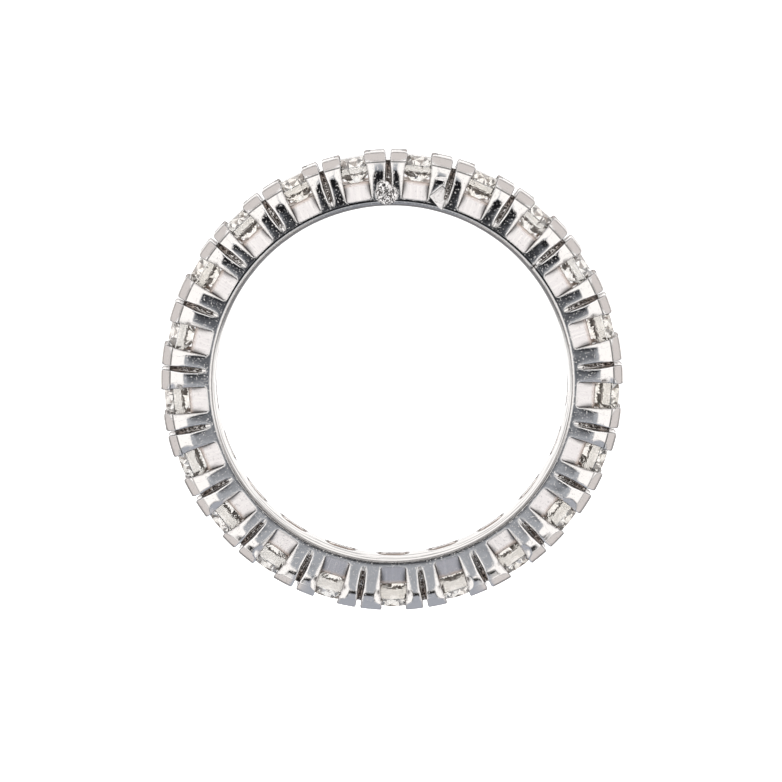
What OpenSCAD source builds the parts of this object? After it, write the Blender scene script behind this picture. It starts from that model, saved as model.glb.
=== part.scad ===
// Full eternity ring: one cast claw-set band and a row of round brilliant stones.
// Millimetres. The ring lies on its side: Z is the finger's axis, Z = 0 is the surface under it,
// +Y is the top of the ring as it is usually shown and +X is its right-hand side.

/* [Band] */
// Inner radius of the band at the middle of its width
bore_r = 8.5; // [8.46:0.01:8.52]
// How much the comfort-fit inner surface falls back at each edge
comfort_rise = 0.23; // [0.2:0.01:0.25]
// Width of the band along the finger
band_w = 2.9; // [2.86:0.01:2.96]
// Outer radius over the claw tips
tip_r = 11.2; // [11.17:0.01:11.23]
// Radius of the crease where a claw's front face ends and its tip begins
crease_r = 10.76; // [10.72:0.01:10.8]
// Radius at which the flat side land ends and the sides begin to lean in
land_r = 9.9; // [9.8:0.02:9.96]

/* [Claws] */
// Width of the saw cut between the tips of neighbouring stones
tip_gap = 0.23; // [0.2:0.01:0.27]
// Width of a flute between two claws at the land's outer edge
flute_w = 0.32; // [0.3:0.01:0.36]
// Clear width between the two claws beside a stone, seen from the side
window_w = 1.24; // [1.2:0.01:1.3]
// Radius of a side window's floor
window_r = 8.96; // [8.94:0.01:9]
// Slope of the wall under a window, in degrees from the side of the ring
wall_slope = 27; // [25:1:29]
// Radius of the wall's upper edge
wall_top_r = 9.84; // [9.8:0.01:9.9]
// Radius of the open circle between the four claws of a stone
claw_mouth_r = 0.98; // [0.96:0.01:0.99]

/* [Stones] */
// Diameter of a stone's girdle
stone_d = 2.42; // [2.38:0.01:2.44]
// Radius from the ring's axis at which the girdles sit
girdle_r = 10.59; // [10.57:0.01:10.61]
// Height of the crown above the girdle
crown_h = 0.4; // [0.38:0.01:0.42]
// Depth of the pavilion under the girdle
pavilion_h = 1.02; // [0.98:0.01:1.05]
// Clear gap between a stone and the metal
stone_gap = 0.03; // [0.02:0.005:0.04]

/* [Repair marks] */
// Height of the solder lump above the side land
solder_rise = 0.1; // [0.06:0.01:0.12]
// Depth of the dressed flat beside the first window
dressed_depth = 0.13; // [0.08:0.01:0.15]
// Width of the sizing seam across the rim
seam_w = 0.16; // [0.12:0.01:0.2]

/* [Hidden] */
$fn = 64;
half_w = band_w / 2;
over = 0.6;

// Set by hand, so the row isn't quite even: the angle of each stone and of the flute after it,
// in degrees clockwise from the top of the ring
STONE_AT = 0;
FLUTE_AT = 1;
row = [
    [6.9, 16.0], [24.3, 32.8], [41.4, 50.2], [58.4, 67.0], [75.3, 85.0], [93.4, 102.3], [110.6, 119.1],
    [128.3, 137.0], [145.6, 154.7], [163.0, 171.5], [179.6, 188.6], [197.0, 205.4], [214.2, 222.7],
    [230.7, 239.2], [247.8, 257.0], [265.1, 273.9], [282.5, 291.3], [300.4, 308.7], [316.6, 325.0],
    [333.8, 341.6], [349.9, 359.0]
];
stone_count = len(row);
seam_at = row[2][FLUTE_AT];
solder_at = row[20][FLUTE_AT];
dressed_at = row[0][FLUTE_AT];

// Section of the band, as radius and distance from the middle plane: the rounded inner edge, the
// bow of a claw's front face, and its tip
edge_drop = 0.06;
edge = [[8.7, half_w - edge_drop], [8.725, half_w - 0.026], [8.75, half_w - 0.009], [8.79, half_w]];
bow = [[10.1, 1.438], [10.28, 1.412], [10.46, 1.368]];
crease_z = 1.265;
tip = [[tip_r - 0.18, 1.0], [tip_r - 0.08, 0.89], [tip_r - 0.02, 0.78], [tip_r, 0.66]];
comfort_r = (pow(half_w, 2) + pow(comfort_rise, 2)) / (2 * comfort_rise);

// Windows, and the round countersink that meets them beside each stone
bevel_slope = 6.65;
bevel_flare = 1.8;
cut_len = 3;
pocket_z = 0.6;
fan_w = 1.17;
fan_root_w = 1.9;

// Rounding of a claw tip's outer corners, seen from the side of the ring: distance in from the tip
// radius and distance from the claw's flank
tip_corner = [[0.13, 0], [0.04, 0.035], [-0.02, 0.12]];
corner = 0.09;
fan_r = crease_r - 0.1;
sink_x = 10.55;
sink_z = 1.335;
sink_tilt = 11.5;
sink_r = 0.95;
sink_floor_r = 0.68;
sink_flare = 2;

// Flutes and saddles
flute_end_r = 9.02;
flute_slope = 18;
foot_w = 0.11;
foot_shoulder_w = 0.24;
foot_rise = 0.055;
saddle_r = 0.5;
saddle_floor_r = 10.75;

// Seat and hole under a stone
seat_r = stone_d / 2 + stone_gap;
girdle_t = 0.05;
azure_end_r = 0.5;
azure_reach = 0.33;
azure_to = 9.3;
throat_r = 0.46;
bowl_from = 9.5;
bowl_to = 9.88;
bowl_r = 1.0;
table_ratio = 0.57;
star_ratio = 0.8;
// Height of the crown's eight star points over the girdle: they stand highest under the claws
star_rise = crown_h * (1 - star_ratio * cos(22.5)) / (1 - table_ratio);
lower_half_ratio = 0.24;
stone_turn = 11;

// Angle from +X, anticlockwise, of an angle clockwise from the top
function from_top(a) = 90 - a;
function two_digits(k) = str(k < 10 ? "0" : "", k);
function stone_name(k) = str("stone_", two_digits(k));

// Stands a child, drawn with X outwards and Z along the finger, at an angle clockwise from the top
module at_angle(a) {
    translate([0, 0, half_w]) rotate([0, 0, from_top(a)]) children();
}

// Draws a child on both sides of the ring's middle plane
module both_sides() {
    children();
    mirror([0, 0, 1]) children();
}

// One side of the band's section, from the finger outwards
side_outline = concat(edge, [[land_r, half_w]], bow, [[crease_r, crease_z]], tip);

function mirrored(points) = [for (i = [len(points) - 1:-1:0]) [points[i].x, -points[i].y]];

// The comfort-fit inner surface is the inner side of a torus, so it is widest at the band's edges
module ring_blank() {
    inside = bore_r - 0.2;
    intersection() {
        rotate_extrude($fn = 180)
            polygon(concat([[inside, half_w - edge_drop]], side_outline, mirrored(side_outline),
                [[inside, edge_drop - half_w]]));
        rotate_extrude($fn = 180) translate([bore_r + comfort_r, 0]) circle(r = comfort_r, $fn = 180);
    }
}

// Oval opening towards the finger, throat, bowl and bearing for the girdle, along X
module seat() {
    fall = pavilion_h / (stone_d / 2);
    girdle_low = girdle_r - girdle_t / 2 - stone_gap;
    girdle_high = girdle_r + girdle_t / 2 + stone_gap;
    bearing_from = girdle_low - (seat_r - bowl_r) * fall;
    crown_run = (seat_r - claw_mouth_r) * star_rise / (stone_d / 2 * (1 - star_ratio));
    for (side = [-1, 1])
        translate([bore_r - over, side * azure_reach, 0]) rotate([0, 90, 0])
            cylinder(r = azure_end_r, h = azure_to - bore_r + over);
    translate([bore_r - over, -azure_reach, -azure_end_r])
        cube([azure_to - bore_r + over, 2 * azure_reach, 2 * azure_end_r]);
    rotate([0, 90, 0])
        rotate_extrude()
            polygon([
                [0, azure_to - 0.1],
                [throat_r, azure_to - 0.1],
                [throat_r, bowl_from],
                [bowl_r, bowl_to],
                [bowl_r, bearing_from],
                [seat_r, girdle_low],
                [seat_r, girdle_high],
                [claw_mouth_r, girdle_high + crown_run],
                [claw_mouth_r, tip_r + over],
                [0, tip_r + over]
            ]);
}

// One flank of a gap between two claws, with the rounding at its mouth
function gap_mouth(half) = concat([for (p = tip_corner) [tip_r - p.x, half + p.y]],
    [[tip_r + over, half + tip_corner[2].y]]);

// Seen from the side of the ring, X outwards and Y along the row: the clear window between two claws
module window_outline() {
    side = window_w / 2;
    half = concat([[window_r, side - corner], [window_r + corner, side], [fan_r, side], [fan_r, fan_w / 2]],
        gap_mouth(fan_w / 2));
    polygon(concat(half, mirrored(half)));
}

// The same view of the bevelled opening, which narrows again between the fanned tips
module bevel_outline() {
    polygon([
        [window_r, -window_w / 2],
        [crease_r - 0.3, -fan_root_w / 2],
        [crease_r, -fan_root_w / 2],
        [tip_r, -fan_w / 2],
        [tip_r + over, -fan_w / 2],
        [tip_r + over, fan_w / 2],
        [tip_r, fan_w / 2],
        [crease_r, fan_root_w / 2],
        [crease_r - 0.3, fan_root_w / 2],
        [window_r, window_w / 2]
    ]);
}

// A flat-bottomed trough that starts at a radius on the land and deepens outwards
module trough(start, slope, floor_w, flare) {
    translate([start, 0, half_w])
        rotate([0, slope, 0])
            rotate([90, 0, 90])
                linear_extrude(height = cut_len)
                    polygon([
                        [-floor_w / 2, 0],
                        [floor_w / 2, 0],
                        [floor_w / 2 + cut_len * flare, cut_len],
                        [-floor_w / 2 - cut_len * flare, cut_len]
                    ]);
}

module window_cut() {
    intersection() {
        linear_extrude(height = band_w) window_outline();
        trough(window_r, wall_slope, window_w + 0.2, 0);
    }
    intersection() {
        translate([0, 0, pocket_z]) linear_extrude(height = band_w) bevel_outline();
        trough(window_r + corner, bevel_slope, window_w - 0.01, bevel_flare);
    }
    sink_depth = (sink_r - sink_floor_r) / sink_flare;
    proud = 0.1;
    translate([sink_x, 0, sink_z]) rotate([0, sink_tilt, 0]) translate([0, 0, -sink_depth])
        cylinder(r1 = sink_floor_r, r2 = sink_r + sink_flare * proud, h = sink_depth + proud);
    translate([wall_top_r, -window_w / 2, pocket_z]) cube([girdle_r - wall_top_r, window_w, half_w]);
}

// Flute between the claws of neighbouring stones, deepening outwards from a rounded foot on the land,
// and the saw cut between the claws' tips
module flute_cut() {
    land_depth = (land_r - flute_end_r) * sin(flute_slope);
    long = (tip_r + over - flute_end_r) / cos(flute_slope);
    proud = 0.4;
    deep = proud + long * sin(flute_slope);
    flare = (flute_w - foot_shoulder_w) / 2 / (land_depth - foot_rise);
    half = foot_shoulder_w / 2 + (deep - foot_rise) * flare;
    // Seen from the side, a flute narrows from the land to just inside the saw cut
    narrow = tip_gap / 2 - 0.01;
    taper = [
        [flute_end_r - over, flute_w / 2 + 0.04],
        [land_r, flute_w / 2 + 0.01],
        [crease_r, narrow],
        [crease_r + 0.1, narrow]
    ];
    intersection() {
        translate([0, 0, -half_w - over]) linear_extrude(height = band_w + 2 * over)
            polygon(concat(taper, mirrored(taper)));
        both_sides()
            translate([flute_end_r, 0, half_w]) rotate([0, flute_slope, 0]) rotate([90, 0, 90])
                translate([0, 0, -proud])
                    linear_extrude(height = long + 2 * proud)
                        polygon([
                            [foot_w / 2, 0],
                            [foot_shoulder_w / 2, foot_rise],
                            [half, deep],
                            [-half, deep],
                            [-foot_shoulder_w / 2, foot_rise],
                            [-foot_w / 2, 0]
                        ]);
    }
    saw = concat([[saddle_floor_r + 0.03, tip_gap / 2]], gap_mouth(tip_gap / 2));
    translate([0, 0, -half_w]) linear_extrude(height = band_w) polygon(concat(saw, mirrored(saw)));
}

// Saddle between neighbouring stones, across the row
module saddle_cut() {
    reach = 1.8;
    translate([saddle_floor_r + saddle_r, 0, 0]) rotate([90, 0, 0])
        cylinder(r = saddle_r, h = reach, center = true);
    translate([saddle_floor_r + saddle_r, -reach / 2, -saddle_r]) cube([reach, reach, 2 * saddle_r]);
}

// Shallow groove that carries one flute on across the rim to the finger
module sizing_seam() {
    translate([bore_r, 0, half_w - seam_w / 2]) rotate([45, 0, 0])
        cube([flute_end_r - bore_r, seam_w, seam_w]);
}

// One domed blob of solder with its foot inside the metal
module blob(x, y, r) {
    cap_r = (pow(r, 2) + pow(solder_rise, 2)) / (2 * solder_rise);
    intersection() {
        translate([x, y, half_w + solder_rise - cap_r]) sphere(r = cap_r, $fn = 96);
        translate([x, y, half_w / 2]) cylinder(r = r - 0.02, h = half_w);
    }
}

// Solder that fills the foot of one flute, with the larger of its gas holes given as X, Y and radius
module solder_lump() {
    pits = [
        [8.98, 0.28, 0.06], [9.26, 0.4, 0.08], [9.08, -0.1, 0.07], [9.3, 0.1, 0.09],
        [8.86, 0.06, 0.06], [9.62, 0.22, 0.08], [9.3, -0.24, 0.07]
    ];
    lump_x = 9.17;
    lump_y = 0.1;
    lump_r = 0.53;
    difference() {
        union() {
            blob(lump_x, lump_y, lump_r);
            blob(9.52, 0.2, 0.34);
        }
        for (p = pits) {
            fall = (pow(p.x - lump_x, 2) + pow(p.y - lump_y, 2)) / pow(lump_r, 2);
            translate([p.x, p.y, half_w + solder_rise * max(1 - fall, 0.2) + p.z / 3])
                sphere(r = p.z, $fn = 24);
        }
    }
}

// A flat that was filed across the foot of the claw beside the first window, deeper away from the rim
module dressed_flat() {
    long = 1.1;
    wide = 0.8;
    intersection() {
        translate([9.22, 0.77, half_w]) rotate([0, 0, -35]) rotate([0, atan(dressed_depth / wide), 0])
            translate([0, -long, 0]) cube([wide, long, half_w]);
        translate([bore_r, 0, 0]) cube([tip_r - bore_r, long, band_w]);
    }
}

// The band with its flutes and repair marks, before the stones' places are cut
module blank() {
    difference() {
        translate([0, 0, half_w]) ring_blank();
        for (k = [0:stone_count - 1]) at_angle(row[k][FLUTE_AT]) flute_cut();
        at_angle(seam_at) sizing_seam();
        at_angle(dressed_at) dressed_flat();
    }
    at_angle(solder_at) solder_lump();
}

// The saddles, the stones' seats and the windows are cut in turn
module band() color("gainsboro") {
    difference() {
        difference() {
            difference() {
                blank();
                for (k = [0:stone_count - 1]) at_angle(row[k][FLUTE_AT]) saddle_cut();
            }
            for (k = [0:stone_count - 1]) at_angle(row[k][STONE_AT]) seat();
        }
        for (k = [0:stone_count - 1]) at_angle(row[k][STONE_AT]) both_sides() window_cut();
    }
}

function ring_point(r, a, z) = [r * cos(a), r * sin(a), z];

// A round brilliant with its axis along Z and its girdle at Z = 0: a table, 8 stars, 8 kites, 16 upper
// halves, 16 lower halves, 8 mains and a pointed culet
module brilliant() {
    step = 360 / 16;
    radius = stone_d / 2;
    girdle_top = girdle_t / 2;
    table_rad = radius * table_ratio;
    star_rad = radius * star_ratio;
    low_rad = radius * lower_half_ratio;
    star_z = girdle_top + star_rise;
    low_z = -girdle_top - pavilion_h * (radius - low_rad * cos(step)) / radius;
    table = [for (i = [0:7]) ring_point(table_rad, 2 * i * step, girdle_top + crown_h)];
    stars = [for (i = [0:7]) ring_point(star_rad, (2 * i + 1) * step, star_z)];
    upper = [for (i = [0:15]) ring_point(radius, i * step, girdle_top)];
    lower = [for (i = [0:15]) ring_point(radius, i * step, -girdle_top)];
    halves = [for (i = [0:7]) ring_point(low_rad, (2 * i + 1) * step, low_z)];
    culet = [[0, 0, -girdle_top - pavilion_h]];
    // Where each ring of points starts in the joined list
    star = len(table);
    up = star + len(stars);
    low = up + len(upper);
    half = low + len(lower);
    tip = half + len(halves);
    faces = concat(
        [[for (i = [7:-1:0]) i]],
        [for (i = [0:7]) [i, (i + 1) % 8, star + i]],
        [for (i = [0:7]) [i, star + i, up + 2 * i, star + (i + 7) % 8]],
        [for (i = [0:7]) [star + i, up + 2 * i + 1, up + 2 * i]],
        [for (i = [0:7]) [star + i, up + (2 * i + 2) % 16, up + 2 * i + 1]],
        [for (i = [0:15]) [up + i, up + (i + 1) % 16, low + (i + 1) % 16, low + i]],
        [for (i = [0:7]) [half + i, low + 2 * i, low + 2 * i + 1]],
        [for (i = [0:7]) [half + i, low + 2 * i + 1, low + (2 * i + 2) % 16]],
        [for (i = [0:7]) [tip, half + (i + 7) % 8, low + 2 * i, half + i]]
    );
    polyhedron(concat(table, stars, upper, lower, halves, culet), faces);
}

module stone(k) color("white") {
    at_angle(row[k - 1][STONE_AT])
        translate([girdle_r, 0, 0]) rotate([0, 90, 0]) rotate([0, 0, k * stone_turn]) brilliant();
}

band();
for (k = [1:stone_count])
    stone(k);
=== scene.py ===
"""Looks of a full eternity ring: polished white gold, 21 round brilliants, and the white table it lies on."""

import logging
import math
from dataclasses import dataclass
from enum import Enum
from typing import Any, Sequence

import bpy
from mathutils import Matrix, Vector


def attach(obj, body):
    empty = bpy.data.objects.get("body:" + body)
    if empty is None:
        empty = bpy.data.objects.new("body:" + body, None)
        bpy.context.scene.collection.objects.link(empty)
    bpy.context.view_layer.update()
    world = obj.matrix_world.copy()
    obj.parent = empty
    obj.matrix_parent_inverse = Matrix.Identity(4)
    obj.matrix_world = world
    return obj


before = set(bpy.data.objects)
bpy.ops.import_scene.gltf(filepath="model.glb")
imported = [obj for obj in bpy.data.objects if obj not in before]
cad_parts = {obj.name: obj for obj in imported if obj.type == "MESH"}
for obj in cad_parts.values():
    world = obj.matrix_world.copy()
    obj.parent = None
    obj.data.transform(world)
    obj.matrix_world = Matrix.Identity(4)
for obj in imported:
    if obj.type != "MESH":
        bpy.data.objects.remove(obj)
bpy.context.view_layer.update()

MM = 0.001
Colour = tuple[float, float, float, float]
Socket = bpy.types.NodeSocket
Tree = bpy.types.NodeTree
log = logging.getLogger("eternity_ring")


def linear(hex_code: str) -> Colour:
    """Turns an sRGB hex colour into linear light.

    Args:
        hex_code: Six hex digits, without a hash sign.

    Returns:
        Linear red, green and blue, with an alpha of 1.
    """
    channels = [int(hex_code[i:i + 2], 16) / 255 for i in (0, 2, 4)]
    red, green, blue = (c / 12.92 if c <= 0.04045 else ((c + 0.055) / 1.055) ** 2.4 for c in channels)
    return red, green, blue, 1.0


def add(tree: Tree, kind: str, inputs: dict[Any, Any] | None = None, **settings: Any) -> bpy.types.Node:
    """Adds one node to a tree, with its settings, values and links.

    Args:
        tree: The tree that gets the node.
        kind: The node's type name.
        inputs: Values, or the output sockets to link, by the name or index of the input.
        **settings: Properties of the node, set before its inputs.

    Returns:
        The new node.
    """
    node = tree.nodes.new(kind)
    for name, value in settings.items():
        setattr(node, name, value)
    for key, value in (inputs or {}).items():
        if isinstance(value, Socket):
            tree.links.new(value, node.inputs[key])
        else:
            node.inputs[key].default_value = value
    return node


def product(tree: Tree, *terms: Any) -> Socket:
    """Multiplies values and smooth ramps, mostly into a mask that is 1 where all of them hold.

    Args:
        tree: The tree that gets the nodes.
        *terms: Values, sockets, and ramps. A ramp is a socket and the two values of it between which the
            ramp rises smoothly from 0 to 1; where the first is the larger, it is 1 below both and 0 above.

    Returns:
        The product's socket.
    """
    result = None
    for term in terms:
        if isinstance(term, tuple):
            value, start, end = term
            term = add(tree, "ShaderNodeMapRange", {"Value": value, "From Min": start, "From Max": end},
                       interpolation_type="SMOOTHSTEP").outputs["Result"]
        result = term if result is None else add(
            tree, "ShaderNodeMath", {0: result, 1: term}, operation="MULTIPLY").outputs[0]
    return result


def coats(tree: Tree, base: Any, *layers: tuple[Any, Any]) -> Socket:
    """Lays coats of colour over a base.

    Args:
        tree: The tree that gets the nodes.
        base: The lowest colour, or its socket.
        *layers: The mask and the colour of each coat, from the lowest up.

    Returns:
        The colour's socket.
    """
    for mask, colour in layers:
        base = add(tree, "ShaderNodeMix", {0: mask, 6: base, 7: colour}, data_type="RGBA").outputs[2]
    return base


def new_material(name: str) -> tuple[bpy.types.Material, Tree, Socket]:
    """Makes an empty node material.

    Args:
        name: The material's name.

    Returns:
        The material, its tree, and the surface socket of its output.
    """
    material = bpy.data.materials.new(name)
    material.use_nodes = True
    material.node_tree.nodes.clear()
    output = add(material.node_tree, "ShaderNodeOutputMaterial")
    return material, material.node_tree, output.inputs["Surface"]


def millimetres(tree: Tree) -> Socket:
    """Gives the piece's own coordinates in millimetres, so a pattern's scale is in cycles a millimetre."""
    place = add(tree, "ShaderNodeTexCoord")
    return add(tree, "ShaderNodeVectorMath", {0: place.outputs["Object"], "Scale": 1 / MM},
               operation="SCALE").outputs["Vector"]


class Side(Enum):
    """The two faces of the ring as it lies, by the sign of their height over the middle plane."""

    UPPER = 1
    LOWER = -1


@dataclass(frozen=True)
class RingPlan:
    """The ring's measures in millimetres, with its axis along Z and the surface under it at Z = 0."""

    half_width: float = 1.45
    # Radii of the flutes' inner ends, in the land, and of the middle of the walls under the stones
    flute_foot: float = 9.02
    wall_radius: float = 9.5
    # Degrees clockwise from the top of each stone and of the flute after it
    row: tuple[tuple[float, float], ...] = (
        (6.9, 16.0), (24.3, 32.8), (41.4, 50.2), (58.4, 67.0), (75.3, 85.0), (93.4, 102.3), (110.6, 119.1),
        (128.3, 137.0), (145.6, 154.7), (163.0, 171.5), (179.6, 188.6), (197.0, 205.4), (214.2, 222.7),
        (230.7, 239.2), (247.8, 257.0), (265.1, 273.9), (282.5, 291.3), (300.4, 308.7), (316.6, 325.0),
        (333.8, 341.6), (349.9, 359.0),
    )

    def turn(self, degrees: float) -> Matrix:
        """Gives the frame at an angle clockwise from the top, with X outwards and Z along the finger."""
        turned = Matrix.Rotation(math.radians(90 - degrees), 4, "Z")
        return Matrix.Translation((0, 0, self.half_width)) @ turned


@dataclass(frozen=True)
class BandPoint:
    """Sockets that tell where a point of the band lies, in millimetres, and which way its surface looks."""

    at: Socket
    y: Socket
    z: Socket
    # Distance from the finger's axis, from the ring's middle plane, and round the ring along the walls
    radius: Socket
    height: Socket
    along: Socket
    normal: Socket
    # Cosine of the angle between the normal and the way out from the finger's axis
    facing_out: Socket

    @classmethod
    def read(cls, tree: Tree, plan: RingPlan) -> "BandPoint":
        """Adds the nodes that measure the point.

        Args:
            tree: The metal's tree.
            plan: The ring's measures.

        Returns:
            The sockets.
        """
        at = millimetres(tree)
        normal = add(tree, "ShaderNodeTexCoord").outputs["Normal"]
        parts = add(tree, "ShaderNodeSeparateXYZ", {0: at}).outputs
        flat = add(tree, "ShaderNodeCombineXYZ", {"X": parts["X"], "Y": parts["Y"]}).outputs[0]
        outward = add(tree, "ShaderNodeVectorMath", {0: flat}, operation="NORMALIZE").outputs["Vector"]
        angle = add(tree, "ShaderNodeMath", {0: parts["Y"], 1: parts["X"]}, operation="ARCTAN2").outputs[0]
        rise = add(tree, "ShaderNodeMath", {0: parts["Z"], 1: plan.half_width},
                   operation="SUBTRACT").outputs[0]
        return cls(
            at=at, y=parts["Y"], z=parts["Z"],
            radius=add(tree, "ShaderNodeVectorMath", {0: flat}, operation="LENGTH").outputs["Value"],
            height=add(tree, "ShaderNodeMath", {0: rise}, operation="ABSOLUTE").outputs[0],
            along=product(tree, angle, plan.wall_radius),
            normal=normal,
            facing_out=add(tree, "ShaderNodeVectorMath", {0: normal, 1: outward},
                           operation="DOT_PRODUCT").outputs["Value"])


@dataclass(frozen=True)
class BandZones:
    """Masks of the zones of the band that were worked in different ways."""

    # Sloped walls under the stones, the comfort-fit inner surface, and the hollows between the two rims
    wall: Socket
    finger_side: Socket
    inside: Socket
    # The dressed flat and the solder lump
    filed: Socket
    soldered: Socket


@dataclass(frozen=True)
class WhiteGold:
    """18 carat white gold, rhodium-plated, cast, filed and polished: a cool mirror with a nicked skin."""

    plan: RingPlan
    # Rhodium is a little darker and cooler than silver
    colour: str = "DEDBD8"
    # The filed walls under the stones were brushed and not polished
    brushed: str = "D3CFCE"
    # Brown laid into the corners by occlusion: grime of polish and skin oils, and painted shade
    grime_and_shade_brown: str = "5B4436"
    # Pinkish polishing paste that dried inside the settings
    paste: str = "C8B8AE"
    # Bottoms of file strokes and of the pits in the solder, and the fresh metal beside them
    scored: str = "8A817B"
    fresh: str = "FFFCFA"
    # Grey of the painted shade in corners, of the painted dark lines along edges and round the ring, and of
    # the polishing streaks in the bore; and the white of the painted highlight on outer edges
    shade_and_line_grey: str = "262322"
    edge_highlight: str = "FFFFFF"
    roughness: float = 0.06
    brushed_roughness: float = 0.2
    filed_roughness: float = 0.28
    soldered_roughness: float = 0.27
    grime_roughness: float = 0.5
    # How metallic a fully dull surface is, and how dull the dressed flat and the solder are
    dull_metal: float = 0.2
    filed_dullness: float = 0.85
    soldered_dullness: float = 0.72
    # Width over which an edge is worn round, and half the width of the fine painted dark line along it, in
    # metres
    edge: float = 0.15 * MM
    outline: float = 0.05 * MM
    # Distance from an edge, in metres, over which the mop has rounded the flats, and how strongly
    mopped: float = 0.4 * MM
    mopped_turn: float = 0.13
    # Depth of corners that get painted shade and grime, in metres
    corner: float = 0.3 * MM
    # Depths of the skin's patterns, in metres
    swell_depth: float = 0.005 * MM
    line_depth: float = 0.0006 * MM
    brush_depth: float = 0.004 * MM
    nick_depth: float = 0.005 * MM
    stroke_depth: float = 0.06 * MM
    blister_depth: float = 0.04 * MM
    # Where one claw's foot was dressed with a file, in millimetres, and the way that the flat looks
    dressed_at: tuple[float, float, float] = (2.32, 9.07, 2.85)
    dressed_facing: tuple[float, float, float] = (0.778, 0.629, 0.0)
    # The solder lump's middle
    solder_at: tuple[float, float, float] = (-0.26, 9.17, 2.95)
    # Millimetres over which a painted dark line fades at each side
    line_fade: float = 0.012

    def zones(self, tree: Tree, spot: BandPoint) -> BandZones:
        """Marks off the differently worked zones, by distances in millimetres and by cosines.

        Args:
            tree: The metal's tree.
            spot: The point of the band.

        Returns:
            A mask for each zone.
        """
        finger_side = product(tree, (spot.facing_out, -0.6, -0.8))
        from_dressed, from_solder = (
            add(tree, "ShaderNodeVectorMath", {0: spot.at, 1: middle}, operation="DISTANCE").outputs["Value"]
            for middle in (self.dressed_at, self.solder_at))
        looks = add(tree, "ShaderNodeVectorMath", {0: spot.normal, 1: self.dressed_facing},
                    operation="DOT_PRODUCT").outputs["Value"]
        return BandZones(
            wall=product(tree, (spot.facing_out, 0.38, 0.43), (spot.facing_out, 0.52, 0.47),
                         (spot.radius, 10.0, 9.9)),
            finger_side=finger_side,
            inside=product(tree, (spot.radius, 8.55, 8.65), (spot.radius, 10.75, 10.5),
                           (spot.height, 1.12, 1.0), (finger_side, 0.5, 0.0)),
            filed=product(tree, (from_dressed, 0.95, 0.85), (looks, 0.08, 0.12), (looks, 0.24, 0.2)),
            # The solder stands just proud of the land
            soldered=product(tree, (from_solder, 1.2, 1.1), (spot.z, 2.901, 2.908)))

    def patterns(self, tree: Tree, spot: BandPoint) -> dict[str, Socket]:
        """Draws the noise patterns of the skin.

        Args:
            tree: The metal's tree.
            spot: The point of the band.

        Returns:
            Each pattern's socket, by name.
        """
        round_ring = add(tree, "ShaderNodeCombineXYZ", {"X": spot.radius, "Y": spot.z}).outputs[0]
        up_wall = add(tree, "ShaderNodeCombineXYZ", {
            "X": product(tree, spot.along, 12.0), "Y": product(tree, spot.radius, 0.8),
            "Z": product(tree, spot.z, 0.8)}).outputs[0]
        round_bore = add(tree, "ShaderNodeCombineXYZ", {
            "X": product(tree, spot.z, 7.0), "Y": product(tree, spot.along, 0.25)}).outputs[0]
        # Name, place, cycles to the millimetre, octaves, how strong the fine ones are, and distortion
        table = (
            # Hand finishing leaves swells about a millimetre long
            ("swells", spot.at, 1.3, 1.0, 0.5, 0.0),
            # Polishing lines run round the ring, so they depend on the radius and the height alone
            ("lines", round_ring, 9.0, 3.0, 0.6, 0.0),
            # Brush marks run up the walls, about twelve to the millimetre
            ("brush", up_wall, 1.0, 2.0, 0.5, 0.0),
            # Nicks and casting pits under 0.1 mm wide
            ("nicks", spot.at, 11.0, 3.0, 0.65, 0.0),
            ("strokes", spot.at, 9.0, 5.0, 0.8, 1.5),
            ("blisters", spot.at, 6.5, 4.0, 0.7, 0.0),
            # Grime and lines are stronger in some places than in others
            ("patches", spot.at, 4.0, 4.0, 0.6, 0.0),
            # Grey polishing lines stay in the comfort-fit inner surface
            ("streaks", round_bore, 1.0, 2.0, 0.5, 0.0),
        )
        return {name: add(tree, "ShaderNodeTexNoise", {
            "Vector": place, "Scale": scale, "Detail": detail, "Roughness": fine, "Distortion": twist,
        }).outputs["Fac"] for name, place, scale, detail, fine, twist in table}

    def skin(self, tree: Tree, smooth: Socket, zones: BandZones, noise: dict[str, Socket]) -> Socket:
        """Roughens the smooth metal with its patterns.

        Args:
            tree: The metal's tree.
            smooth: The normal of the smooth metal.
            zones: The zones' masks.
            noise: The patterns.

        Returns:
            The normal's socket.
        """
        for height, depth in (
                (noise["swells"], self.swell_depth), (noise["lines"], self.line_depth),
                (product(tree, noise["brush"], zones.wall), self.brush_depth),
                (product(tree, (noise["nicks"], 0.6, 0.74)), self.nick_depth),
                (product(tree, noise["strokes"], zones.filed), self.stroke_depth),
                (product(tree, noise["blisters"], zones.soldered), self.blister_depth)):
            smooth = add(tree, "ShaderNodeBump", {
                "Height": height, "Strength": 1.0, "Distance": depth, "Normal": smooth}).outputs["Normal"]
        return smooth

    def painted_dark_lines(self, tree: Tree, spot: BandPoint, patches: Socket) -> list[Socket]:
        """Draws the thin dark lines painted round the ring: painted reflections along the rim and the land,
        and painted shade along the claws' crease.

        Args:
            tree: The metal's tree.
            spot: The point of the band.
            patches: The pattern that makes a line stronger in some places.

        Returns:
            The mask of each line.
        """
        top_only = product(tree, (spot.y, 2.0, 5.0))
        foot_only = product(tree, (spot.y, -1.0, -5.0))
        # Painted reflections, by from radius, to radius, and strength: two where the rounded rim meets the
        # inner surface, then those of the land, along its inner edge at the foot of the ring, and under the
        # windows at the top
        lines = [
            product(tree, (spot.radius, inner - self.line_fade, inner),
                    (spot.radius, outer + self.line_fade, outer), (spot.height, 1.0, 1.1), *strength)
            for inner, outer, strength in (
                (8.605, 8.625, (0.75,)), (8.685, 8.705, (0.6,)), (8.74, 8.785, (foot_only, 0.95)),
                (8.755, 8.77, (top_only, 0.6)), (8.85, 8.91, (top_only, 0.95)))
        ]
        # Painted shade along the crease between a claw's front and its tip, left off at the foot of the ring
        lines.append(product(tree, (spot.radius, 10.68, 10.7), (spot.radius, 10.765, 10.75),
                             (spot.height, 0.6, 0.7), (spot.y, -7.0, -3.0), (patches, 0.0, 0.42), 0.8))
        return lines

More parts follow.
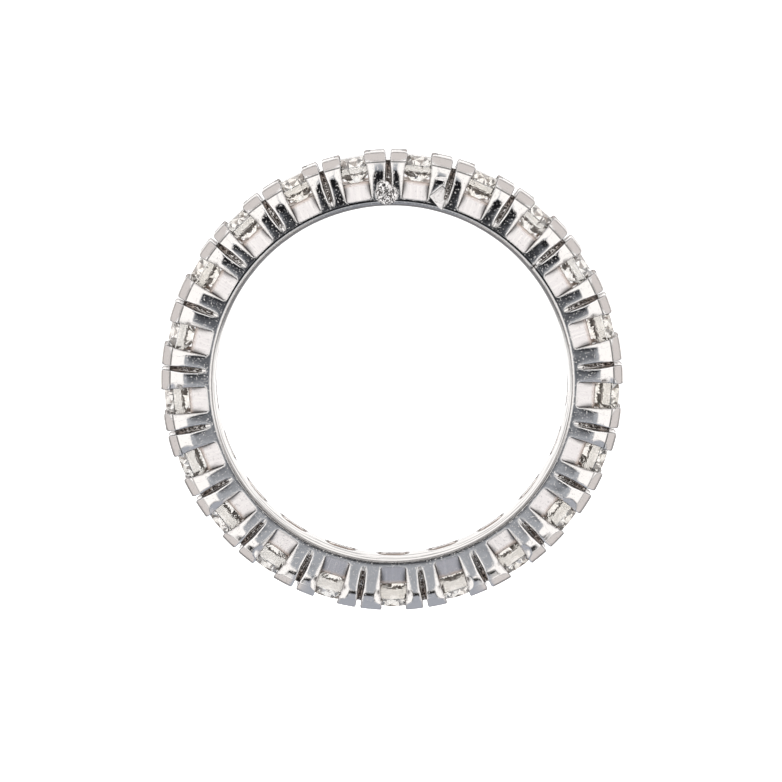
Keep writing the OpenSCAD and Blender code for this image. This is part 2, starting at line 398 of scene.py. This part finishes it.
    def material(self) -> bpy.types.Material:
        """Builds the metal's node tree."""
        material, tree, surface = new_material("white_gold_polished")
        spot = BandPoint.read(tree, self.plan)
        zones = self.zones(tree, spot)
        noise = self.patterns(tree, spot)
        patches = noise["patches"]
        crisp = add(tree, "ShaderNodeNewGeometry").outputs["True Normal"]
        worn, soft, ridge = (
            add(tree, "ShaderNodeBevel", {"Radius": radius}, samples=samples).outputs["Normal"]
            for radius, samples in ((self.edge, 8), (self.mopped, 6), (self.outline, 6)))
        # Beyond the worn edge the mop has left every flat slightly round
        soft = add(tree, "ShaderNodeVectorMath", {0: soft, 1: crisp}, operation="SUBTRACT").outputs["Vector"]
        soft = add(tree, "ShaderNodeVectorMath", {0: soft, 1: (self.mopped_turn,) * 3, 2: worn},
                   operation="MULTIPLY_ADD").outputs["Vector"]
        soft = add(tree, "ShaderNodeVectorMath", {0: soft}, operation="NORMALIZE").outputs["Vector"]
        # The worn normal and the ridge's differ from the face's own only beside an edge
        turn, ridge = (
            add(tree, "ShaderNodeVectorMath", {0: rounded, 1: crisp},
                operation="DOT_PRODUCT").outputs["Value"]
            for rounded in (worn, ridge))
        edge = product(tree, (turn, 0.99, 0.93))
        open_sky = add(tree, "ShaderNodeAmbientOcclusion", {"Distance": self.corner}, samples=8).outputs["AO"]
        # Painted shade and grime: brown wherever the occlusion finds a corner, stronger in patches
        grime_and_shade = product(tree, (open_sky, 0.55, 0.1), (patches, 0.25, 0.6))
        paste = product(tree, zones.inside, (patches, 0.22, 0.6))
        # Painted shade: a dark line in inner corners and darker corners on the walls; with it the painted
        # dark lines round the ring and the grey polishing streaks in the bore
        shade = product(tree, edge, (open_sky, 0.92, 0.7), 0.85)
        for mark in (product(tree, zones.wall, (open_sky, 0.97, 0.65), 0.75),
                     product(tree, (noise["streaks"], 0.54, 0.6), zones.finger_side, 0.6),
                     *self.painted_dark_lines(tree, spot, patches)):
            shade = add(tree, "ShaderNodeMath", {0: shade, 1: mark}, operation="MAXIMUM").outputs[0]
        # File strokes on the dressed flat, and pits in the solder
        strokes, pits = (coats(tree, linear(self.scored), (mark, linear(self.fresh))) for mark in (
            product(tree, (noise["strokes"], 0.36, 0.47)), product(tree, (noise["blisters"], 0.34, 0.44))))
        colour = coats(
            tree, linear(self.colour),
            (product(tree, zones.wall, (noise["brush"], 0.1, 0.6)), linear(self.brushed)),
            (shade, linear(self.shade_and_line_grey)),
            # Painted highlight: outer edges away from corners are lightened to white
            (product(tree, edge, (open_sky, 0.85, 0.95), 0.6), linear(self.edge_highlight)),
            (zones.filed, strokes),
            (zones.soldered, pits),
            # Painted reflection: a fine grey line along every edge, stronger in patches
            (product(tree, (ridge, 0.99, 0.95), (patches, 0.0, 0.42), 0.9), linear(self.shade_and_line_grey)),
            (paste, linear(self.paste)),
            (grime_and_shade, linear(self.grime_and_shade_brown)))
        rough: Any = self.roughness
        for mask, value in ((zones.wall, self.brushed_roughness), (zones.filed, self.filed_roughness),
                            (zones.soldered, self.soldered_roughness), (grime_and_shade, self.grime_roughness)):
            rough = add(tree, "ShaderNodeMapRange", {
                "Value": mask, "To Min": rough, "To Max": value}).outputs[0]
        dull = grime_and_shade
        for mask in (paste, product(tree, zones.filed, self.filed_dullness),
                     product(tree, zones.soldered, self.soldered_dullness)):
            dull = add(tree, "ShaderNodeMath", {0: dull, 1: mask}, operation="MAXIMUM").outputs[0]
        bare = add(tree, "ShaderNodeMapRange", {
            "Value": dull, "To Min": 1.0, "To Max": self.dull_metal}).outputs[0]
        shader = add(tree, "ShaderNodeBsdfPrincipled", {
            "Base Color": colour, "Metallic": bare, "Roughness": rough,
            "Normal": self.skin(tree, soft, zones, noise),
        })
        tree.links.new(shader.outputs["BSDF"], surface)
        return material


@dataclass(frozen=True)
class CutDiamond:
    """Natural round brilliants of a faint warm tint, polished on a lap, with a film of skin oil from wear."""

    colour: str = "FFFFFE"
    warm: str = "FFFAF0"
    refraction: float = 2.417
    roughness: float = 0.0
    filmed_roughness: float = 0.07
    # How much of the light passes the film
    clear: float = 0.91

    def material(self) -> bpy.types.Material:
        """Builds the stones' node tree."""
        material, tree, surface = new_material("diamond_brilliant_cut")
        place = millimetres(tree)
        # The tint changes from stone to stone, which are over 3 mm apart
        tint = add(tree, "ShaderNodeTexNoise", {"Vector": place, "Scale": 0.3, "Detail": 0.0}).outputs["Fac"]
        film = add(tree, "ShaderNodeTexNoise", {"Vector": place, "Scale": 3.0, "Detail": 3.0}).outputs["Fac"]
        rough = add(tree, "ShaderNodeMapRange", {
            "Value": film, "From Min": 0.35, "From Max": 0.7,
            "To Min": self.roughness, "To Max": self.filmed_roughness}).outputs[0]
        shader = add(tree, "ShaderNodeBsdfPrincipled", {
            "Base Color": coats(tree, linear(self.colour), (tint, linear(self.warm))), "Roughness": rough,
            "IOR": self.refraction, "Transmission Weight": self.clear,
        })
        tree.links.new(shader.outputs["BSDF"], surface)
        return material


@dataclass(frozen=True)
class PolishingPaste:
    """Dried polishing paste: a matt brown crumb of wax and grit that stays where a mop can't reach."""

    colour: str = "17110D"
    pale: str = "463A31"
    roughness: float = 0.75
    # Depth of the crumb in metres
    crumb: float = 0.01 * MM

    def material(self) -> bpy.types.Material:
        """Builds the paste's node tree."""
        material, tree, surface = new_material("polishing_paste_dried")
        cloud = add(tree, "ShaderNodeTexNoise", {
            "Vector": millimetres(tree), "Scale": 6.0, "Detail": 3.0}).outputs["Fac"]
        mixed = add(tree, "ShaderNodeMapRange", {
            "Value": cloud, "From Min": 0.35, "From Max": 0.65}).outputs[0]
        skin = add(tree, "ShaderNodeBump", {
            "Height": cloud, "Strength": 1.0, "Distance": self.crumb}).outputs[0]
        shader = add(tree, "ShaderNodeBsdfPrincipled", {
            "Base Color": coats(tree, linear(self.colour), (mixed, linear(self.pale))),
            "Roughness": self.roughness, "Normal": skin,
        })
        tree.links.new(shader.outputs["BSDF"], surface)
        return material


@dataclass(frozen=True)
class LightTable:
    """Opal acrylic sheet, lit from below: an even white with only a trace of shade under what lies on it."""

    colour: str = "F4F4F4"
    hazed: str = "F0F0F0"
    light: str = "FFFFFF"
    glow: float = 0.92
    roughness: float = 0.6

    def material(self) -> bpy.types.Material:
        """Builds the sheet's node tree."""
        material, tree, surface = new_material("opal_acrylic_sheet")
        # The sheet's white changes over some 50 mm
        haze = add(tree, "ShaderNodeTexNoise", {
            "Vector": millimetres(tree), "Scale": 0.02, "Detail": 1.0}).outputs["Fac"]
        shader = add(tree, "ShaderNodeBsdfPrincipled", {
            "Base Color": coats(tree, linear(self.colour), (haze, linear(self.hazed))),
            "Roughness": self.roughness,
            "Emission Color": linear(self.light), "Emission Strength": self.glow,
        })
        tree.links.new(shader.outputs["BSDF"], surface)
        return material


@dataclass(frozen=True)
class LightTent:
    """White tent all round the table, with the dark lens opening and the grey round it, in linear light."""

    wall: Colour = (1.40, 1.385, 1.385, 1.0)
    low_wall: Colour = (0.88, 0.84, 0.835, 1.0)
    # The dark gap under the tent's skirt, and the skirt's grey mirrored in the table's gloss
    skirt_gap: Colour = (0.06, 0.055, 0.055, 1.0)
    skirt: Colour = (0.22, 0.21, 0.21, 1.0)
    # The table, and the shade of the camera's stand on its near half
    table: Colour = (1.30, 1.29, 1.29, 1.0)
    near_table: Colour = (0.26, 0.26, 0.27, 1.0)
    # The far wall below the ring's foot, and the gap above it
    foot: Colour = (0.50, 0.53, 0.60, 1.0)
    foot_gap: Colour = (0.02, 0.02, 0.02, 1.0)
    # The camera's stand, the ceiling round it, and the lens
    stand: Colour = (0.13, 0.14, 0.16, 1.0)
    ceiling: Colour = (0.50, 0.53, 0.58, 1.0)
    lens: Colour = (0.012, 0.012, 0.014, 1.0)
    # What the camera itself sees past the table
    backdrop: Colour = (1.0, 1.0, 1.0, 1.0)
    # Middle and reach of the oval that the stand and the ceiling take up, as parts of a direction of length 1
    hood_middle: tuple[float, float, float] = (0.0, 0.015, 0.0)
    hood_reach: tuple[float, float, float] = (0.222, 0.553, 1.0)

    def build(self, lens_axis: Vector) -> bpy.types.World:
        """Builds the light all round, by its direction's parts and by its angle in radians from the lens.

        Args:
            lens_axis: The direction from the ring to the camera.

        Returns:
            The scene's world.
        """
        world = bpy.data.worlds.new("light_tent")
        bpy.context.scene.world = world
        world.use_nodes = True
        tree = world.node_tree
        tree.nodes.clear()
        toward = add(tree, "ShaderNodeTexCoord").outputs["Generated"]
        parts = add(tree, "ShaderNodeSeparateXYZ", {0: toward}).outputs
        x, y, z = parts["X"], parts["Y"], parts["Z"]
        wide, deep = (
            add(tree, "ShaderNodeMath", {0: part}, operation="ABSOLUTE").outputs[0] for part in (x, y))
        slant = add(tree, "ShaderNodeMath", {0: wide, 1: deep}, operation="DIVIDE").outputs[0]
        cosine = add(tree, "ShaderNodeVectorMath", {0: toward, 1: lens_axis},
                     operation="DOT_PRODUCT").outputs["Value"]
        off_lens = add(tree, "ShaderNodeMath", {0: cosine}, operation="ARCCOSINE").outputs[0]
        hood = add(tree, "ShaderNodeCombineXYZ", {"X": x, "Y": y}).outputs[0]
        for kind, value in (("SUBTRACT", self.hood_middle), ("DIVIDE", self.hood_reach)):
            hood = add(tree, "ShaderNodeVectorMath", {0: hood, 1: value}, operation=kind).outputs["Vector"]
        hood = add(tree, "ShaderNodeVectorMath", {0: hood, 1: hood}, operation="DOT_PRODUCT").outputs["Value"]
        light = coats(
            tree, self.wall,
            # The walls are greyer and a little pink where they meet the table
            (product(tree, (z, 0.36, 0.2)), self.low_wall),
            # The skirt's gap and its mirror image draw the thin outlines of every rounded edge
            (product(tree, (z, 0.2, 0.25), (z, 0.37, 0.32)), self.skirt_gap),
            (product(tree, (z, -0.28, -0.33), (z, -0.52, -0.46)), self.skirt),
            (product(tree, (z, -0.5, -0.6)), self.table),
            (product(tree, (y, -0.16, -0.3), (z, -0.5, -0.6)), self.near_table),
            (product(tree, (slant, 0.45, 0.33), (y, -0.62, -0.66)), self.foot),
            (product(tree, (y, -0.52, -0.56), (y, -0.68, -0.65), (wide, 0.5, 0.4)), self.foot_gap),
            (product(tree, (hood, 1.12, 0.92), (z, 0.0, 0.1)),
             coats(tree, self.stand, (product(tree, (off_lens, 0.2387, 0.2823)), self.ceiling))),
            (product(tree, (off_lens, 0.228, 0.216)), self.lens),
            (add(tree, "ShaderNodeLightPath").outputs["Is Camera Ray"], self.backdrop))
        shine = add(tree, "ShaderNodeBackground", {"Color": light, "Strength": 1.0})
        add(tree, "ShaderNodeOutputWorld", {"Surface": shine.outputs["Background"]})
        return world


@dataclass
class Studio:
    """The white table, the soft light all round, and the camera over the ring."""

    plan: RingPlan
    # Metres from the lens to the middle of the ring, and degrees by which the camera leans to the ring's top
    distance: float = 0.250
    lean: float = 7.0
    # Width of the film in millimetres, and the nearest thing that shows, in metres
    film: float = 36.0
    nearest: float = 0.002
    # The photograph is 782 pixels each way, with 20.6 of them to a millimetre of the ring
    pixels: int = 782
    pixels_per_mm: float = 20.6
    # Pixels by which the ring's middle lies right of and above the middle of the photograph
    centre_shift: tuple[float, float] = (1.0, 11.0)
    table_size: float = 0.6
    # A hair's breadth between the table and the ring, so that no two faces coincide, in metres
    table_gap: float = 0.01 * MM

    def axis(self) -> Vector:
        """Gives the direction from the ring to the camera."""
        return Vector((0, math.sin(math.radians(self.lean)), math.cos(math.radians(self.lean))))

    def build_camera(self) -> bpy.types.Object:
        """Stands the camera where the photograph was taken from."""
        data = bpy.data.cameras.new("camera")
        camera = bpy.data.objects.new("camera", data)
        bpy.context.scene.collection.objects.link(camera)
        back = self.axis()
        right = Vector((1, 0, 0))
        rotation = Matrix((right, back.cross(right), back)).transposed().to_4x4()
        target = Vector((0, 0, self.plan.half_width * MM))
        camera.matrix_world = Matrix.Translation(target + back * self.distance) @ rotation
        data.sensor_width = self.film
        data.lens = data.sensor_width * self.distance / (self.pixels / self.pixels_per_mm * MM)
        data.shift_x = -self.centre_shift[0] / self.pixels
        data.shift_y = -self.centre_shift[1] / self.pixels
        data.clip_start = self.nearest
        bpy.context.scene.camera = camera
        return camera

    def build_table(self) -> bpy.types.Object:
        """Lays the table's sheet under the ring."""
        mesh = bpy.data.meshes.new("table")
        half, low = self.table_size / 2, -self.table_gap
        corners = [(-half, -half, low), (half, -half, low), (half, half, low), (-half, half, low)]
        mesh.from_pydata(corners, [], [(0, 1, 2, 3)])
        table = bpy.data.objects.new("table", mesh)
        bpy.context.scene.collection.objects.link(table)
        # The light tent already holds what the metal mirrors of the table
        table.visible_glossy = False
        mesh.materials.append(LightTable().material())
        return table

    def build(self) -> None:
        """Builds the whole studio."""
        self.build_camera()
        self.build_table()
        LightTent().build(self.axis())
        bpy.context.scene.view_settings.view_transform = "Standard"
        log.info("studio: camera %.0f mm away", self.distance / MM)


@dataclass
class Band:
    """The cast band with its claws, flutes, windows and seats."""

    metal: bpy.types.Material

    def dress(self) -> None:
        """Gives the CAD band its metal."""
        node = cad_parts["band"]
        node.data.materials.clear()
        node.data.materials.append(self.metal)
        log.info("band: %d faces", len(node.data.polygons))


@dataclass
class StoneRow:
    """The 21 brilliants, clockwise from the top."""

    plan: RingPlan
    diamond: bpy.types.Material

    def dress(self) -> None:
        """Gives each CAD stone its finish."""
        for number in range(1, len(self.plan.row) + 1):
            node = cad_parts[f"stone_{number:02d}"]
            node.data.materials.clear()
            node.data.materials.append(self.diamond)
        log.info("stones: %d", len(self.plan.row))


@dataclass(frozen=True)
class Grains:
    """Small grains: number to the square millimetre, radii in millimetres, and height over width."""

    density: float
    smallest: float
    largest: float
    flatness: float
    # Fixes where the grains lie and how they turn
    seed: int


class ScatterTree:
    """A Geometry Nodes tree that strews small grains over a surface."""

    def __init__(self, name: str, material: bpy.types.Material, grains: Grains) -> None:
        """Builds the tree.

        Args:
            name: The tree's name.
            material: The grains' material.
            grains: Their number, sizes and seed.
        """
        tree = bpy.data.node_groups.new(name, "GeometryNodeTree")
        face = tree.interface
        face.new_socket("Surface", in_out="INPUT", socket_type="NodeSocketGeometry")
        # Each named input in SI units, by the identifier that a modifier sets it by
        self.values: dict[str, float] = {}
        for label, value in (("Grains per square metre", grains.density / (MM * MM)),
                             ("Smallest grain", grains.smallest * MM), ("Largest grain", grains.largest * MM),
                             ("Flatness", grains.flatness)):
            socket = face.new_socket(label, in_out="INPUT", socket_type="NodeSocketFloat")
            self.values[socket.identifier] = value
        face.new_socket("Grains", in_out="OUTPUT", socket_type="NodeSocketGeometry")
        given = add(tree, "NodeGroupInput").outputs
        points = add(tree, "GeometryNodeDistributePointsOnFaces", {
            "Mesh": given["Surface"], "Density": given["Grains per square metre"], "Seed": grains.seed,
        }, distribute_method="RANDOM")
        grain = add(tree, "GeometryNodeMeshIcoSphere", {"Radius": 1.0, "Subdivisions": 1})
        size = add(tree, "FunctionNodeRandomValue", {
            2: given["Smallest grain"], 3: given["Largest grain"], "Seed": grains.seed + 1},
                   data_type="FLOAT").outputs[1]
        thick = add(tree, "ShaderNodeMath", {0: size, 1: given["Flatness"]}, operation="MULTIPLY").outputs[0]
        scale = add(tree, "ShaderNodeCombineXYZ", {"X": size, "Y": size, "Z": thick}).outputs[0]
        laid = add(tree, "GeometryNodeInstanceOnPoints", {
            "Points": points.outputs["Points"], "Instance": grain.outputs["Mesh"],
            "Rotation": points.outputs["Rotation"], "Scale": scale})
        turn = add(tree, "FunctionNodeRandomValue", {2: 0.0, 3: math.tau, "Seed": grains.seed + 2},
                   data_type="FLOAT").outputs[1]
        spin = add(tree, "ShaderNodeCombineXYZ", {"Z": turn}).outputs[0]
        spun = add(tree, "GeometryNodeRotateInstances", {
            "Instances": laid.outputs["Instances"], "Rotation": spin, "Local Space": True})
        real = add(tree, "GeometryNodeRealizeInstances", {0: spun.outputs[0]})
        dressed = add(tree, "GeometryNodeSetMaterial", {0: real.outputs[0], "Material": material})
        add(tree, "NodeGroupOutput", {0: dressed.outputs[0]})
        self.tree = tree

    def strew(self, bed: bpy.types.Object, name: str) -> bpy.types.Object:
        """Strews the grains over a bed and gives them as a plain mesh.

        Args:
            bed: The object that gives the surface; it is removed.
            name: The piece's name.

        Returns:
            The new piece, at the origin.
        """
        modifier = bed.modifiers.new(name, "NODES")
        modifier.node_group = self.tree
        for identifier, value in self.values.items():
            modifier[identifier] = value
        bpy.context.view_layer.update()
        mesh = bpy.data.meshes.new_from_object(bed.evaluated_get(bpy.context.evaluated_depsgraph_get()))
        mesh.name = name
        bpy.data.objects.remove(bed, do_unlink=True)
        piece = bpy.data.objects.new(name, mesh)
        bpy.context.scene.collection.objects.link(piece)
        return piece


def sheet_object(name: str, corners: Sequence[Vector], faces: Sequence[Sequence[int]]) -> bpy.types.Object:
    """Makes a linked mesh object from points in millimetres.

    Args:
        name: The object's name.
        corners: Points in millimetres.
        faces: Corner numbers of each face.

    Returns:
        The object.
    """
    mesh = bpy.data.meshes.new(name)
    mesh.from_pydata([tuple(c * MM) for c in corners], [], faces)
    item = bpy.data.objects.new(name, mesh)
    bpy.context.scene.collection.objects.link(item)
    return item


@dataclass
class FlutePaste:
    """Crumbs of paste along the bottoms of the 42 flutes between the claws."""

    plan: RingPlan
    paste: bpy.types.Material
    grains: Grains = Grains(density=560.0, smallest=0.012, largest=0.034, flatness=0.6, seed=11)
    # Degrees by which a flute's floor falls away from the land, then millimetres: half the width of the
    # strip of paste in it, its height over the floor, and where it starts and ends
    slope: float = 18.0
    half_width: float = 0.055
    lift: float = 0.03
    from_radius: float = 9.24
    to_radius: float = 10.75

    def bed(self) -> bpy.types.Object:
        """Lays a narrow strip just over the bottom of every flute on both sides."""
        corners: list[Vector] = []
        faces: list[tuple[int, int, int, int]] = []
        fall = math.tan(math.radians(self.slope))
        for side in Side:
            for _, angle in self.plan.row:
                first = len(corners)
                turn = self.plan.turn(angle)
                for radius in (self.from_radius, self.to_radius):
                    floor = self.plan.half_width - (radius - self.plan.flute_foot) * fall
                    height = side.value * (floor + self.lift)
                    for across in (-self.half_width, self.half_width):
                        corners.append(turn @ Vector((radius, across, height)))
                order = (0, 2, 3, 1) if side is Side.UPPER else (0, 1, 3, 2)
                faces.append(tuple(first + i for i in order))
        return sheet_object("flute_bed", corners, faces)

    def build(self) -> bpy.types.Object:
        """Strews the crumbs and makes them ride with the ring."""
        piece = ScatterTree("strew_paste", self.paste, self.grains).strew(self.bed(), "paste_in_flutes")
        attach(piece, "root")
        log.info("paste in the flutes: %d faces", len(piece.data.polygons))
        return piece


@dataclass
class SolderCrust:
    """The blistered skin of the solder lump that fills the foot of the flute at the top."""

    plan: RingPlan
    metal: bpy.types.Material
    beads: Grains = Grains(density=230.0, smallest=0.018, largest=0.05, flatness=0.7, seed=5)
    # Degrees clockwise from the top
    angle: float = 359.0
    # Millimetres: middle outwards and across, radius, rise over the land, and the second, smaller round
    middle: tuple[float, float] = (9.17, 0.1)
    radius: float = 0.5
    rise: float = 0.1
    neck: tuple[float, float] = (9.52, 0.2)
    neck_radius: float = 0.31
    # Rings and spokes of each dome's mesh
    rings: int = 7
    spokes: int = 28

    def bed(self) -> bpy.types.Object:
        """Makes the two low domes that the beads sit on."""
        corners: list[Vector] = []
        faces: list[list[int]] = []
        turn = self.plan.turn(self.angle)
        for (x, y), reach in ((self.middle, self.radius), (self.neck, self.neck_radius)):
            top = len(corners)
            corners.append(turn @ Vector((x, y, self.plan.half_width + self.rise)))
            for ring in range(1, self.rings + 1):
                part = ring / self.rings
                height = self.plan.half_width + self.rise * (1 - part ** 2)
                for spoke in range(self.spokes):
                    way = math.tau * spoke / self.spokes
                    corners.append(turn @ Vector((
                        x + reach * part * math.cos(way), y + reach * part * math.sin(way), height)))
            for spoke in range(self.spokes):
                after = (spoke + 1) % self.spokes
                faces.append([top, top + 1 + spoke, top + 1 + after])
                for ring in range(self.rings - 1):
                    inner = top + 1 + ring * self.spokes
                    outer = inner + self.spokes
                    faces.append([inner + spoke, outer + spoke, outer + after, inner + after])
        return sheet_object("solder_bed", corners, faces)

    def build(self) -> bpy.types.Object:
        """Strews the beads and makes them ride with the ring."""
        piece = ScatterTree("strew_beads", self.metal, self.beads).strew(self.bed(), "solder_beads")
        for polygon in piece.data.polygons:
            polygon.use_smooth = True
        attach(piece, "root")
        log.info("solder beads: %d faces", len(piece.data.polygons))
        return piece


def main() -> None:
    """Builds the studio and every piece of the ring in order."""
    logging.basicConfig(level=logging.INFO, format="%(name)s: %(message)s")
    plan = RingPlan()
    Studio(plan).build()
    white_gold = WhiteGold(plan).material()
    Band(white_gold).dress()
    SolderCrust(plan, white_gold).build()
    FlutePaste(plan, PolishingPaste().material()).build()
    StoneRow(plan, CutDiamond().material()).dress()


if __name__ == "__main__":
    main()
